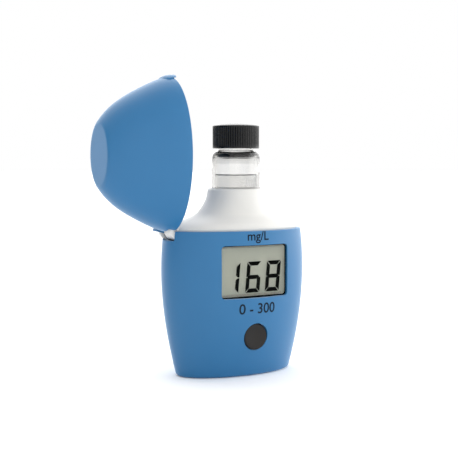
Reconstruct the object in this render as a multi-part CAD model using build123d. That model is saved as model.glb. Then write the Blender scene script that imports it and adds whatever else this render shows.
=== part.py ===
# Pocket photometer: a hand-held lab instrument that shines a lamp through a sample vial.
# Millimetres. Origin at the centre of the base, on the surface that it stands on.
# +X points at the lid's thumb tab, -Y at the display, +Z up. The lid stands open, as in use.
import os
from math import sqrt

from build123d import *

# Body: an upright oval housing, in a front and a rear shell
body_height = 56.5          # base to the rim that the lid closes on
base_half_width = 24.75
base_half_depth = 13.0
low_half_width = 28.6       # at a third of the height
low_half_depth = 17.6
belly_half_width = 30.5     # at two thirds of the height, the widest
belly_half_depth = 18.75
rim_half_width = 29.4
rim_half_depth = 18.5
wall = 2.0
floor_thickness = 2.0
base_round = 1.0
seam_y = -1.2               # plane where the two shells meet
tongue_length = 1.0
tongue_thickness = 0.9

# Clearances
fit_gap = 0.15              # between fixed pieces
slide_gap = 0.3             # around pieces that move
lid_gap = 0.25              # under the closed lid's rim

# Vial and the well that takes it
well_x = 1.2
vial_radius = 9.5
vial_wall = 1.2
vial_bottom = 29.5          # drawn up for taking out, as the lid stands open
vial_seat_drop = 19.1       # how far it goes down to the well's floor
vial_height = 57.5          # to the top of the shoulder
finish_radius = 7.0         # threaded mouth
finish_bore = 5.6
finish_height = 8.2
liquid_height = 46.7
well_wall = 1.1
well_floor_thickness = 1.5
beam_height = 25.0          # lamp and light sensor, over the floor

# Cap of the vial
cap_radius = 9.15
cap_height = 9.7
cap_gap = 1.0               # between the vial's shoulder and the cap
cap_top_thickness = 1.25
liner_thickness = 1.1
cap_dome = 0.5
cap_ribs = 60
rib_depth = 0.28
rib_groove = 0.55
rib_start = 0.6
rib_end = 1.9

# Neck that guides the vial, a white moulding on the rim
ledge = 1.55                # rim left bare around it
flange_height = 1.1
neck_height = 16.0          # over the rim
neck_radius = 11.2
neck_wall = 1.6
neck_round = 1.1
skirt_depth = 3.5
hollow_height = 4.0
hollow_spread = 4.5         # room beside the well under the flare

# Lid
lid_height = 29.5
lid_wall = 1.3
lid_top_half_width = 12.0
lid_top_half_depth = 8.4
lid_crease = 0.8
tab_length = 4.6
tab_width = 8.6
tab_proud = 1.0
tab_round = 1.6
tab_overhang = 1.0          # of the tab below the rim, outside the body

# Hinge at the -X end
hinge_x = -28.3
hinge_above_rim = 0.5
pin_radius = 0.75
arm_radius = 1.7
arm_front = 1.45
arm_width = 3.2
web_height = 3.0
front_lug_width = 5.8
rear_lug_width = 1.4
lug_radius = 4.2
lug_inset = 2.3             # centre of the lug's round, inboard of the hinge line
lug_top = 1.0               # over the hinge line

# Display
window_width = 29.6
window_height = 20.25
window_below_rim = 15.5     # centre of the display
window_round = 1.5
window_face_y = -16.1
window_thickness = 1.1
pocket_margin = 1.4         # of the pocket behind the opening
panel_thickness = 1.4
frame_wall = 0.8
board_face_y = -12.5
board_thickness = 0.9
board_bottom = 9.5
board_below_rim = 5.0
board_foot_half_width = 7.5
board_low_half_width = 12.0
board_mid_half_width = 15.5
board_top_half_width = 16.5
board_low_rise = 5.5
board_mid_below_screw = 2.0
zebra_width = 28.0
zebra_height = 1.5

# Button under the display
button_z = 15.8
button_radius = 5.1
button_face_y = -16.9
button_flange = 0.9
flange_thickness = 0.6
flange_y = -14.8
button_travel = 0.8
switch_size = 4.8
switch_height = 0.5
plunger_radius = 1.5
plunger_height = 0.3

# Board fastening and parts
screw_x = 13.5
boss_gap = 1.275            # between a boss and the display pocket
screw_radius = 0.8
screw_head_radius = 1.7
screw_head_height = 1.1
screw_length = 3.0
boss_radius = 2.2
chip_size = 6.5
chip_height = 1.2
chip_x = -12.3
chip_below_window = 1.5
sensor_size = 4.0
lamp_radius = 1.5
lamp_board_size = 10.0
lamp_board_y = 14.2
lamp_board_thickness = 0.8
lamp_arm_width = 1.2

# Battery, a single AAA cell standing beside the well
battery_x = 17.6
battery_radius = 5.25
battery_length = 44.5
nub_radius = 1.9
nub_height = 0.8
spring_height = 3.5
spring_radius = 3.0
spring_wire = 0.7
spring_turns = 3
contact_thickness = 0.4
contact_half_size = 3.6
sleeve_wall = 0.65
sleeve_bottom = 12.0
sleeve_short = 5.4          # of the sleeve below the top plate
cover_recess = 0.4
cover_thickness = 1.2
cover_margin = 0.65         # around the battery
cover_screw_x = 6.0
cover_overlap = 1.5         # of the cover's end round past its screw
cover_screw_radius = 1.0
cover_head_radius = 2.0
cover_head_height = 0.7
cover_screw_length = 6.0
foot_radius = 3.2
plate_thickness = 1.2
grip_count = 3              # grooves in the cover, for a fingernail
grip_pitch = 1.5
grip_width = 0.6
grip_length = 5.0
grip_depth = 0.3

# Worked out from the sizes above
rim_z = body_height
window_z = rim_z - window_below_rim
board_top = rim_z - board_below_rim
screw_z = window_z - window_height / 2 - pocket_margin - boss_radius - boss_gap
chip_z = window_z - chip_below_window
hinge_z = rim_z + hinge_above_rim
bore_radius = vial_radius + slide_gap
well_radius = bore_radius + well_wall
well_floor_z = vial_bottom - vial_seat_drop - fit_gap
shoulder_z = vial_bottom + vial_height
finish_top = shoulder_z + finish_height
cap_bottom = shoulder_z + cap_gap
cap_top = cap_bottom + cap_height
liner_top = cap_top - cap_top_thickness
liner_bottom = liner_top - liner_thickness
cover_top = cover_recess + cover_thickness
battery_bottom = cover_top + contact_thickness
battery_top = battery_bottom + battery_length
spring_top = battery_top + spring_height
plate_z = spring_top + contact_thickness
sleeve_top = plate_z - sleeve_short
board_back_y = board_face_y + board_thickness
panel_face_y = window_face_y + window_thickness
big = 200.0

body_sections = [
    (0.0, base_half_width, base_half_depth),
    (body_height / 3, low_half_width, low_half_depth),
    (body_height * 2 / 3, belly_half_width, belly_half_depth),
    (body_height, rim_half_width, rim_half_depth),
]


def oval_loft(sections, inset=0.0):
    """A smooth solid through ovals given as height, half width, half depth and centre x."""
    ovals = []
    for z, half_width, half_depth, *centre in sections:
        x = centre[0] if centre else 0.0
        ovals.append(Pos(x, 0, z) * Ellipse(half_width - inset, half_depth - inset))
    return loft(ovals)


def block(x0, x1, y0, y1, z0, z1):
    """A box from its lowest to its highest corner."""
    return Pos((x0 + x1) / 2, (y0 + y1) / 2, (z0 + z1) / 2) * Box(x1 - x0, y1 - y0, z1 - z0)


def upright(x, y, radius, z0, z1):
    """A cylinder standing along Z."""
    return Pos(x, y, (z0 + z1) / 2) * Cylinder(radius, z1 - z0)


def crosswise(x, z, radius, y0, y1):
    """A cylinder lying along Y."""
    return Pos(x, (y0 + y1) / 2, z) * Rot(90, 0, 0) * Cylinder(radius, y1 - y0)


def stadium(x0, x1, radius, z0, z1):
    """A flat plate with round ends, along X."""
    ends = upright(x0, 0, radius, z0, z1) + upright(x1, 0, radius, z0, z1)
    return ends + block(x0, x1, -radius, radius, z0, z1)


def turned(points, x=0.0):
    """A solid of revolution about the upright line at x, from (radius, z) points."""
    outline = make_face(Polyline([(r, 0, z) for r, z in points], close=True).edges())
    return Pos(x, 0, 0) * revolve(outline, Axis.Z)


def outside_body():
    body = oval_loft(body_sections)
    base = body.edges().group_by(Axis.Z)[0]
    return fillet(base, base_round)


def hollow(inset, from_z):
    """The room inside a wall of this thickness, down to from_z."""
    room = oval_loft(body_sections, inset)
    return room & block(-big, big, -big, big, from_z, big)


def tongue_band(inner, outer, length):
    """The ring between two insets, in front of the seam."""
    ring = hollow(outer, outer) - hollow(inner, floor_thickness)
    return ring & block(-big, big, seam_y - length, seam_y, -big, big)


def hinge_notch():
    """The slot in the rim that the hinge's lugs and arm stand in."""
    front = arm_front - slide_gap - front_lug_width - fit_gap
    back = arm_front + arm_width + slide_gap + rear_lug_width + fit_gap
    depth = lug_radius - hinge_above_rim
    return block(-big, hinge_x + lug_inset, front, back, rim_z - depth, big)


def cover_hole():
    """Recess in the base for the battery cover, over a ledge with the battery's own hole."""
    plate_radius = battery_radius + cover_margin + fit_gap
    recess = stadium(cover_screw_x + cover_overlap, battery_x, plate_radius, -big, cover_top)
    passage = upright(battery_x, 0, battery_radius + fit_gap, -big, floor_thickness + 1)
    screw = upright(cover_screw_x, 0, cover_screw_radius + fit_gap, -big, floor_thickness + 1)
    return recess + passage + screw


def display_opening():
    outline = RectangleRounded(window_width, window_height, window_round)
    opening = Pos(0, -big / 2, window_z) * Rot(90, 0, 0) * extrude(outline, big / 2, both=True)
    half_width = window_width / 2 + pocket_margin
    half_height = window_height / 2 + pocket_margin
    pocket = block(-half_width, half_width, panel_face_y - fit_gap, board_face_y + 1,
                   window_z - half_height, window_z + half_height)
    return opening + pocket


def button_opening():
    hole = crosswise(0, button_z, button_radius + fit_gap + 0.05, -big, 0)
    room = crosswise(0, button_z, button_radius + button_flange + slide_gap, flange_y - 0.1, 0)
    return hole + room


def make_front_shell():
    shell = outside_body() - hollow(wall, floor_thickness)
    shell = shell & block(-big, big, -big, seam_y, -big, big)
    shell -= tongue_band(wall, wall - tongue_thickness - fit_gap, tongue_length + fit_gap)
    for x in (-screw_x, screw_x):
        boss = crosswise(x, screw_z, boss_radius, -belly_half_depth, board_face_y)
        shell += boss & hollow(wall / 2, floor_thickness)
    shell = shell - display_opening() - button_opening() - hinge_notch() - cover_hole()
    for x in (-screw_x, screw_x):
        shell -= crosswise(x, screw_z, screw_radius + 0.03, board_back_y - screw_length, 0)
    return shell


def make_rear_shell():
    shell = outside_body() - hollow(wall, floor_thickness)
    shell = shell & block(-big, big, seam_y, big, -big, big)
    shell += tongue_band(wall, wall - tongue_thickness, tongue_length)
    return shell - hinge_notch() - cover_hole() - button_opening()


def neck_sections():
    """Ovals of the white neck, from its flange up to the round mouth."""
    half_width = rim_half_width - ledge
    half_depth = rim_half_depth - ledge
    z = rim_z + flange_height
    rise = neck_height - flange_height
    flare = half_width - neck_radius
    spread = half_depth - neck_radius
    steps = [(0.0, 0.98, 0.96), (0.11, 0.80, 0.76), (0.24, 0.46, 0.36), (0.40, 0.24, 0.17),
             (0.62, 0.09, 0.08), (0.82, 0.02, 0.02), (1.0, 0.0, 0.0)]
    return [(z + up * rise, neck_radius + wide * flare, neck_radius + deep * spread,
             well_x * (1 - wide)) for up, wide, deep in steps]


def lug(y0, width):
    """A hinge lug: square above, with a quarter round underneath."""
    centre_x = hinge_x + lug_inset
    y1 = y0 + width
    round_part = crosswise(centre_x, hinge_z, lug_radius, y0, y1)
    round_part &= block(-big, centre_x, -big, big, -big, hinge_z)
    top = block(centre_x - lug_radius, centre_x, y0, y1, hinge_z - 0.01, hinge_z + lug_top)
    return round_part + top


def make_neck_housing():
    half_width = rim_half_width - ledge
    half_depth = rim_half_depth - ledge
    flange = oval_loft([(rim_z, half_width, half_depth), (rim_z + flange_height,
                        neck_sections()[0][1], neck_sections()[0][2])])
    mouth = oval_loft(neck_sections())
    top = mouth.edges().group_by(Axis.Z)[-1]
    neck = flange + fillet(top, neck_round)
    skirt_inset = wall + fit_gap
    skirt = hollow(skirt_inset, rim_z - skirt_depth)
    neck += skirt
    for y0, width in hinge_lugs():
        neck += lug(y0, width)
    room_sections = [(rim_z - skirt_depth - 1, rim_half_width - skirt_inset - neck_wall,
                      rim_half_depth - skirt_inset - neck_wall),
                     (rim_z, rim_half_width - skirt_inset - neck_wall,
                      rim_half_depth - skirt_inset - neck_wall),
                     (rim_z + hollow_height, well_radius + hollow_spread, well_radius + fit_gap + slide_gap)]
    neck -= oval_loft(room_sections[:2]) + oval_loft(room_sections[1:])
    neck -= upright(well_x, 0, bore_radius, 0, big)
    neck -= crosswise(hinge_x, hinge_z, pin_radius + 0.02, -big, big)
    arm_room = arm_radius + slide_gap
    neck -= crosswise(hinge_x, hinge_z, arm_room, arm_front - slide_gap,
                      arm_front + arm_width + slide_gap)
    neck -= block(-big, hinge_x + arm_room, arm_front - slide_gap,
                  arm_front + arm_width + slide_gap, rim_z - skirt_depth, hinge_z)
    return neck


def hinge_lugs():
    """Start and width along Y of the two lugs."""
    front = arm_front - slide_gap - front_lug_width
    rear = arm_front + arm_width + slide_gap
    return [(front, front_lug_width), (rear, rear_lug_width)]


def make_hinge_pin():
    lugs = hinge_lugs()
    start = lugs[0][0] + 0.3
    end = lugs[1][0] + lugs[1][1]
    return crosswise(hinge_x, hinge_z, pin_radius, start, end)


def lid_sections():
    """Ovals of the closed lid, from its rim up to the flat top."""
    z = rim_z + lid_gap
    rise = lid_height - lid_gap
    shares = [(0.0, 0.0), (0.25, 0.115), (0.50, 0.315), (0.75, 0.565), (1.0, 1.0)]
    taper_x = rim_half_width - lid_top_half_width
    taper_y = rim_half_depth - lid_top_half_depth
    return [(z + up * rise, rim_half_width - share * taper_x, rim_half_depth - share * taper_y)
            for up, share in shares]


def open_lid(closed):
    """Swings a piece of the closed lid back to the open stop."""
    return Pos(hinge_x, 0, hinge_z) * Rot(0, -90, 0) * Pos(-hinge_x, 0, -hinge_z) * closed


def thumb_tab():
    """Tab that follows the lid's +X end and hooks a little over the body's rim."""
    over = lid_sections()
    raised = oval_loft(over, -tab_proud)
    z0 = rim_z - tab_overhang
    hook = extrude(Pos(0, 0, z0) * Ellipse(rim_half_width + tab_proud, rim_half_depth + tab_proud),
                   tab_overhang + lid_gap)
    inner = Ellipse(rim_half_width + lid_gap + 0.1, rim_half_depth + lid_gap + 0.1)
    hook -= extrude(Pos(0, 0, z0) * inner, tab_overhang + lid_gap)
    height = tab_overhang + tab_length
    end_view = Plane(origin=(rim_half_width / 2, 0, z0 + height / 2), x_dir=(0, 1, 0), z_dir=(1, 0, 0))
    outline = extrude(end_view * RectangleRounded(tab_width, height, tab_round), rim_half_width)
    return (raised + hook) & outline


def make_lid():
    outer = oval_loft(lid_sections())
    outer = fillet(outer.edges().group_by(Axis.Z)[-1], lid_crease)
    inner = oval_loft(lid_sections(), lid_wall)
    inner &= block(-big, big, -big, big, -big, rim_z + lid_height - lid_wall)
    lugs = hinge_lugs()
    reach = sqrt(lug_inset ** 2 + lug_top ** 2) + slide_gap
    lug_room = block(-big, hinge_x + lug_inset + slide_gap, lugs[0][0] - slide_gap,
                     lugs[1][0] + lugs[1][1] + slide_gap, 0, hinge_z + reach)
    lid = outer + (thumb_tab() - oval_loft(lid_sections())) - inner - lug_room
    arm = crosswise(hinge_x, hinge_z, arm_radius, arm_front, arm_front + arm_width)
    web = block(hinge_x - arm_radius, hinge_x + arm_radius, arm_front, arm_front + arm_width,
                hinge_z, hinge_z + reach + web_height)
    lid += arm + (web & outer)
    lid -= crosswise(hinge_x, hinge_z, pin_radius + fit_gap, -big, big)
    return open_lid(lid)


def make_vial():
    r, w = vial_radius, vial_wall
    b, s = vial_bottom, shoulder_z
    points = [(0, b + 0.6), (3.0, b + 0.5), (r - 2.0, b), (r - 0.6, b + 0.3), (r, b + 1.2),
              (r, s - 3.2), (r - 0.7, s - 1.4), (finish_radius + 0.3, s), (finish_radius, s + 0.4),
              (finish_radius, finish_top), (finish_bore, finish_top), (finish_bore, s - 0.6),
              (r - w - 0.6, s - 2.3), (r - w, s - 3.6), (r - w, b + w + 1.0),
              (r - w - 1.0, b + w), (0, b + w + 0.4)]
    return turned(points, well_x)


def make_sample_liquid():
    r = vial_radius - vial_wall - 0.04
    z0 = vial_bottom + vial_wall + 0.05
    z1 = vial_bottom + vial_wall + liquid_height
    points = [(0, z0 + 0.4), (r - 1.0, z0), (r, z0 + 1.0), (r, z1 + 0.5), (r - 0.8, z1), (0, z1 - 0.1)]
    return turned(points, well_x)


def make_vial_cap():
    inner = finish_radius + slide_gap
    points = [(inner, cap_bottom), (cap_radius - 0.2, cap_bottom), (cap_radius, cap_bottom + 0.3),
              (cap_radius, cap_top - cap_dome - 0.4), (cap_radius - 0.5, cap_top - cap_dome),
              (cap_radius * 0.6, cap_top - 0.1), (0, cap_top), (0, liner_top + 0.05),
              (inner, liner_top + 0.05)]
    cap = turned(points, well_x)
    height = cap_height - rib_start - rib_end
    groove = Pos(cap_radius, 0, cap_bottom + rib_start + height / 2) * Box(2 * rib_depth, rib_groove,
                                                                         height)
    grooves = [Pos(well_x, 0, 0) * Rot(0, 0, turn * 360 / cap_ribs) * groove
               for turn in range(cap_ribs)]
    return cap - grooves


def make_vial_stopper():
    radius = finish_radius - 0.1
    plug = finish_bore - fit_gap
    points = [(0, liner_bottom - 0.8), (plug - 0.4, liner_bottom - 0.8), (plug, liner_bottom - 0.3),
              (plug, finish_top + 0.1), (radius, finish_top + 0.1), (radius, liner_top),
              (0, liner_top)]
    return turned(points, well_x)


def make_display_window():
    plate = RectangleRounded(window_width - 2 * fit_gap, window_height - 2 * fit_gap, window_round)
    front = Plane(origin=(0, panel_face_y, window_z), x_dir=(1, 0, 0), z_dir=(0, -1, 0))
    window = extrude(front * plate, window_thickness)
    return chamfer(window.faces().sort_by(Axis.Y)[0].edges(), 0.25)


def frame_half_sizes():
    return window_width / 2 + pocket_margin - fit_gap, window_height / 2 + pocket_margin - fit_gap


def make_lcd_frame():
    half_width, half_height = frame_half_sizes()
    outer = block(-half_width, half_width, panel_face_y, board_face_y,
                  window_z - half_height, window_z + half_height)
    w = frame_wall
    return outer - block(-half_width + w, half_width - w, -big, big,
                         window_z - half_height + w, window_z + half_height - w)


def make_lcd_panel():
    half_width, half_height = frame_half_sizes()
    inset = frame_wall + 0.1
    return block(-half_width + inset, half_width - inset, panel_face_y,
                 panel_face_y + panel_thickness,
                 window_z - half_height + inset, window_z + half_height - inset)


def make_zebra_connectors():
    half_height = frame_half_sizes()[1] - frame_wall - 0.2
    strips = []
    for z0 in (window_z - half_height, window_z + half_height - zebra_height):
        strips.append(block(-zebra_width / 2, zebra_width / 2, panel_face_y + panel_thickness,
                            board_face_y, z0, z0 + zebra_height))
    return Compound(strips)


def make_main_board():
    half = [(board_foot_half_width, board_bottom),
            (board_low_half_width, board_bottom + board_low_rise),
            (board_mid_half_width, screw_z - board_mid_below_screw),
            (board_top_half_width, board_top)]
    outline = half + [(-x, z) for x, z in reversed(half)]
    face = make_face(Polyline([(x, board_face_y, z) for x, z in outline], close=True).edges())
    board = extrude(face, board_thickness, dir=(0, 1, 0))
    for x in (-screw_x, screw_x):
        board -= crosswise(x, screw_z, screw_radius + fit_gap, -big, big)
    return board


def make_board_screws():
    screws = []
    for x in (-screw_x, screw_x):
        shank = crosswise(x, screw_z, screw_radius, board_back_y - screw_length + 0.1, board_back_y)
        head = crosswise(x, screw_z, screw_head_radius, board_back_y,
                         board_back_y + screw_head_height)
        slot = block(x - 0.2, x + 0.2, board_back_y + screw_head_height - 0.4, big,
                     screw_z - 1.2, screw_z + 1.2)
        screws.append(shank + head - slot)
    return Compound(screws)


def make_microcontroller():
    half = chip_size / 2
    chip = block(chip_x - half, chip_x + half, board_back_y, board_back_y + chip_height,
                 chip_z - half, chip_z + half)
    return chamfer(chip.faces().sort_by(Axis.Y)[-1].edges(), 0.3)


def make_power_button():
    face_y = button_face_y
    cap = crosswise(0, button_z, button_radius, face_y, flange_y + 0.1)
    cap = fillet(cap.edges().group_by(Axis.Y)[0], 0.5)
    return cap + crosswise(0, button_z, button_radius + button_flange, flange_y,
                           flange_y + flange_thickness)


def make_button_switch():
    half = switch_size / 2
    case = block(-half, half, board_face_y - switch_height, board_face_y,
                 button_z - half, button_z + half)
    top = board_face_y - switch_height
    return case + crosswise(0, button_z, plunger_radius, top - plunger_height, top)


def make_photodiode():
    half = sensor_size / 2
    return block(well_x - half, well_x + half, board_back_y, -well_radius,
                 beam_height - half, beam_height + half)


def make_optical_filter():
    half = sensor_size / 2 - 0.2
    plate = block(well_x - half, well_x + half, -well_radius + 0.05, -bore_radius - fit_gap,
                  beam_height - half, beam_height + half)
    return plate


def make_led_lamp():
    length = lamp_board_y - well_radius
    lamp = crosswise(well_x, beam_height, lamp_radius, well_radius - 0.5, lamp_board_y)
    lamp = fillet(lamp.edges().group_by(Axis.Y)[0], lamp_radius * 0.8)
    rim = crosswise(well_x, beam_height, lamp_radius + 0.3, well_radius + length * 0.6,
                    lamp_board_y)
    return lamp + rim


def make_led_board():
    half = lamp_board_size / 2
    return block(well_x - half, well_x + half, lamp_board_y, lamp_board_y + lamp_board_thickness,
                 beam_height - half, beam_height + half)


def make_optics_chassis():
    top = rim_z + hollow_height
    tube = upright(well_x, 0, well_radius, well_floor_z - well_floor_thickness, top)
    foot = upright(cover_screw_x, 0, foot_radius, floor_thickness, well_floor_z)
    sleeve_radius = battery_radius + 0.2 + sleeve_wall
    sleeve = upright(battery_x, 0, sleeve_radius, sleeve_bottom, sleeve_top)
    plate = upright(battery_x, 0, sleeve_radius, plate_z, plate_z + plate_thickness)
    plate += block(well_x, battery_x, -sleeve_radius, sleeve_radius,
                   plate_z, plate_z + plate_thickness)
    chassis = tube + foot + sleeve + plate
    half = lamp_board_size / 2 - 0.5
    for x0 in (well_x - half, well_x + half - lamp_arm_width):
        chassis += block(x0, x0 + lamp_arm_width, 0, lamp_board_y,
                         beam_height - half, beam_height + half)
    chassis -= upright(battery_x, 0, battery_radius + 0.2, 0, plate_z)
    chassis -= upright(well_x, 0, bore_radius, well_floor_z, big)
    opening = sensor_size / 2 + 0.05
    chassis -= block(well_x - opening + 0.2, well_x + opening - 0.2, -big, 0,
                     beam_height - opening + 0.2, beam_height + opening - 0.2)
    chassis -= crosswise(well_x, beam_height, lamp_radius + fit_gap, 0, well_radius + 0.2)
    chassis -= upright(cover_screw_x, 0, cover_screw_radius + 0.03, 0,
                       floor_thickness + cover_screw_length)
    return chassis


def make_battery():
    nub_top = battery_bottom + nub_height
    nub = upright(battery_x, 0, nub_radius, battery_bottom, nub_top)
    case = upright(battery_x, 0, battery_radius, nub_top, battery_top)
    case = fillet(case.edges(), 0.4)
    return case + nub


def make_battery_spring():
    pitch = (spring_height - spring_wire) / spring_turns
    path = Helix(pitch, pitch * spring_turns, spring_radius)
    start = path @ 0
    wire = sweep(Plane(origin=start, z_dir=path % 0) * Circle(spring_wire / 2), path)
    return Pos(battery_x, 0, battery_top + spring_wire / 2) * wire


def make_battery_contact():
    half = contact_half_size
    plates = []
    for z in (cover_top, spring_top):
        plates.append(block(battery_x - half, battery_x + half, -half, half, z,
                            z + contact_thickness))
    return Compound(plates)


def make_battery_cover():
    radius = battery_radius + cover_margin
    plate = stadium(cover_screw_x + cover_overlap, battery_x, radius, cover_recess, cover_top)
    plate -= upright(cover_screw_x, 0, cover_head_radius + fit_gap, -big,
                     cover_recess + cover_head_height)
    plate -= upright(cover_screw_x, 0, cover_screw_radius + fit_gap, -big, big)
    for step in range(grip_count):
        x = battery_x - step * grip_pitch
        plate -= block(x - grip_width, x, -grip_length / 2, grip_length / 2, -big,
                       cover_recess + grip_depth)
    return plate


def make_battery_cover_screw():
    z = cover_recess
    head = upright(cover_screw_x, 0, cover_head_radius, z, z + cover_head_height)
    shank = upright(cover_screw_x, 0, cover_screw_radius, z + cover_head_height,
                    z + cover_head_height + cover_screw_length)
    slot = block(cover_screw_x - 1.4, cover_screw_x + 1.4, -0.25, 0.25, -big, z + 0.4)
    return head + shank - slot


makers = {
    "front_shell": make_front_shell,
    "rear_shell": make_rear_shell,
    "neck_housing": make_neck_housing,
    "optics_chassis": make_optics_chassis,
    "lid": make_lid,
    "hinge_pin": make_hinge_pin,
    "vial": make_vial,
    "vial_cap": make_vial_cap,
    "vial_stopper": make_vial_stopper,
    "sample_liquid": make_sample_liquid,
    "display_window": make_display_window,
    "lcd_panel": make_lcd_panel,
    "lcd_frame": make_lcd_frame,
    "zebra_connectors": make_zebra_connectors,
    "main_board": make_main_board,
    "board_screws": make_board_screws,
    "microcontroller": make_microcontroller,
    "power_button": make_power_button,
    "button_switch": make_button_switch,
    "photodiode": make_photodiode,
    "optical_filter": make_optical_filter,
    "led_lamp": make_led_lamp,
    "led_board": make_led_board,
    "battery": make_battery,
    "battery_spring": make_battery_spring,
    "battery_contact": make_battery_contact,
    "battery_cover": make_battery_cover,
    "battery_cover_screw": make_battery_cover_screw,
}

os.makedirs("parts", exist_ok=True)
for name, make in makers.items():
    export_step(make(), f"parts/{name}.step")
print("wrote", len(makers), "parts")
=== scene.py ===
# Pocket photometer with its lid open and a capped vial standing in its well.
# Sizes are in millimetres until a piece becomes a mesh, which is in metres.
import math

import bmesh
import bpy
import numpy as np
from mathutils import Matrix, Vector


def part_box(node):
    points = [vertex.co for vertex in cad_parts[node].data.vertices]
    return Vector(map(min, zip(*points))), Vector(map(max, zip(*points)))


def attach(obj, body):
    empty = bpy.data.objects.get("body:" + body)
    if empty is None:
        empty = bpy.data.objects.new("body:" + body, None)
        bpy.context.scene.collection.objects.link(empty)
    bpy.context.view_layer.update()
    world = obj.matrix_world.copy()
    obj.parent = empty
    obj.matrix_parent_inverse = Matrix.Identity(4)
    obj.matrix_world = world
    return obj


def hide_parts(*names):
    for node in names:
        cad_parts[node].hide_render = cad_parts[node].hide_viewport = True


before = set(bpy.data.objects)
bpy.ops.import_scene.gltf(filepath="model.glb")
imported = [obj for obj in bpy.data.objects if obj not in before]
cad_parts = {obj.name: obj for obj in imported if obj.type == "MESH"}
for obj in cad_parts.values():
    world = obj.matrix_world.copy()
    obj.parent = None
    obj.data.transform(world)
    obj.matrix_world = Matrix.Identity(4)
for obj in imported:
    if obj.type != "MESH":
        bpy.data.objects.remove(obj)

print("frame loaded:", len(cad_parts), "nodes")
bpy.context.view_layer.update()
mm = 0.001
scene = bpy.context.scene
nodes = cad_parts
tau = 2 * math.pi


def nodeBox(name):
    # Lowest and highest corner of a CAD node, in millimetres
    low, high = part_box(name)
    return np.array(low) / mm, np.array(high) / mm


# Camera
camera = dict(x=-211.6, y=-352.0, z=82.26, lens=81.86, tiltDown=3.62, turn=30.78)
cameraData = bpy.data.cameras.new("camera")
cameraData.lens = camera["lens"]
cameraData.sensor_width = 36
cameraData.clip_end = 10
cameraObject = bpy.data.objects.new("camera", cameraData)
scene.collection.objects.link(cameraObject)
cameraObject.location = [camera[k] * mm for k in ("x", "y", "z")]
cameraObject.rotation_euler = (math.radians(90 - camera["tiltDown"]), 0,
                               -math.radians(camera["turn"]))
scene.camera = cameraObject
scene.view_settings.view_transform = "Standard"


# Materials
def linear(hexColour, alpha=1.0):
    # sRGB hex to linear RGBA
    channels = [int(hexColour[i:i + 2], 16) / 255 for i in (1, 3, 5)]
    return [c / 12.92 if c <= 0.04045 else ((c + 0.055) / 1.055) ** 2.4
            for c in channels] + [alpha]


def addNode(tree, kind, settings=None, links=None, **values):
    # A shader node with its properties, its socket values and its links
    node = tree.nodes.new(kind)
    for key, value in (settings or {}).items():
        setattr(node, key, value)
    for key, value in values.items():
        node.inputs[key.replace("_", " ")].default_value = value
    for key, source in (links or {}).items():
        tree.links.new(source, node.inputs[key])
    return node


def startMaterial(name, **values):
    # A principled material; returns it with its tree, shader and object coordinates
    material = bpy.data.materials.new(name)
    material.use_nodes = True
    tree = material.node_tree
    shader = tree.nodes["Principled BSDF"]
    for key, value in values.items():
        shader.inputs[key.replace("_", " ")].default_value = value
    coords = addNode(tree, "ShaderNodeTexCoord").outputs["Object"]
    return material, tree, shader, coords


def perMetre(featureMm):
    # Texture scale on metre coordinates for a feature of this many millimetres
    return 1 / (featureMm * mm)


def mouldedPlastic(name, colour, shade, roughness, grainMm, grainDepth, cloudMm=9.0, **values):
    # ABS or PP from a spark-eroded mould: fine even grain, faint clouds of tone, satin gloss
    material, tree, shader, coords = startMaterial(name, IOR=1.53, **values)
    cloud = addNode(tree, "ShaderNodeTexNoise", links={"Vector": coords},
                    Scale=perMetre(cloudMm), Detail=3.0, Roughness=0.55)
    tone = addNode(tree, "ShaderNodeMix", {"data_type": "RGBA"}, {0: cloud.outputs["Fac"]})
    tone.inputs[6].default_value = linear(shade)
    tone.inputs[7].default_value = linear(colour)
    tree.links.new(tone.outputs[2], shader.inputs["Base Color"])
    grain = addNode(tree, "ShaderNodeTexNoise", links={"Vector": coords},
                    Scale=perMetre(grainMm), Detail=2.0, Roughness=0.6)
    bump = addNode(tree, "ShaderNodeBump", links={"Height": grain.outputs["Fac"]},
                   Strength=1.0, Distance=grainDepth * mm)
    tree.links.new(bump.outputs["Normal"], shader.inputs["Normal"])
    rough = addNode(tree, "ShaderNodeMapRange", links={"Value": grain.outputs["Fac"]},
                    To_Min=roughness - 0.05, To_Max=roughness + 0.06)
    tree.links.new(rough.outputs["Result"], shader.inputs["Roughness"])
    return material


def steel(name, colour, roughness, scratchMm):
    # Plated or drawn steel: fine lines left by drawing or turning
    material, tree, shader, coords = startMaterial(name, Metallic=1.0)
    shader.inputs["Base Color"].default_value = linear(colour)
    lines = addNode(tree, "ShaderNodeTexNoise", links={"Vector": coords},
                    Scale=perMetre(scratchMm), Detail=3.0)
    rough = addNode(tree, "ShaderNodeMapRange", links={"Value": lines.outputs["Fac"]},
                    To_Min=roughness - 0.06, To_Max=roughness + 0.08)
    tree.links.new(rough.outputs["Result"], shader.inputs["Roughness"])
    bump = addNode(tree, "ShaderNodeBump", links={"Height": lines.outputs["Fac"]},
                   Strength=0.5, Distance=0.01 * mm)
    tree.links.new(bump.outputs["Normal"], shader.inputs["Normal"])
    return material


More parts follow.
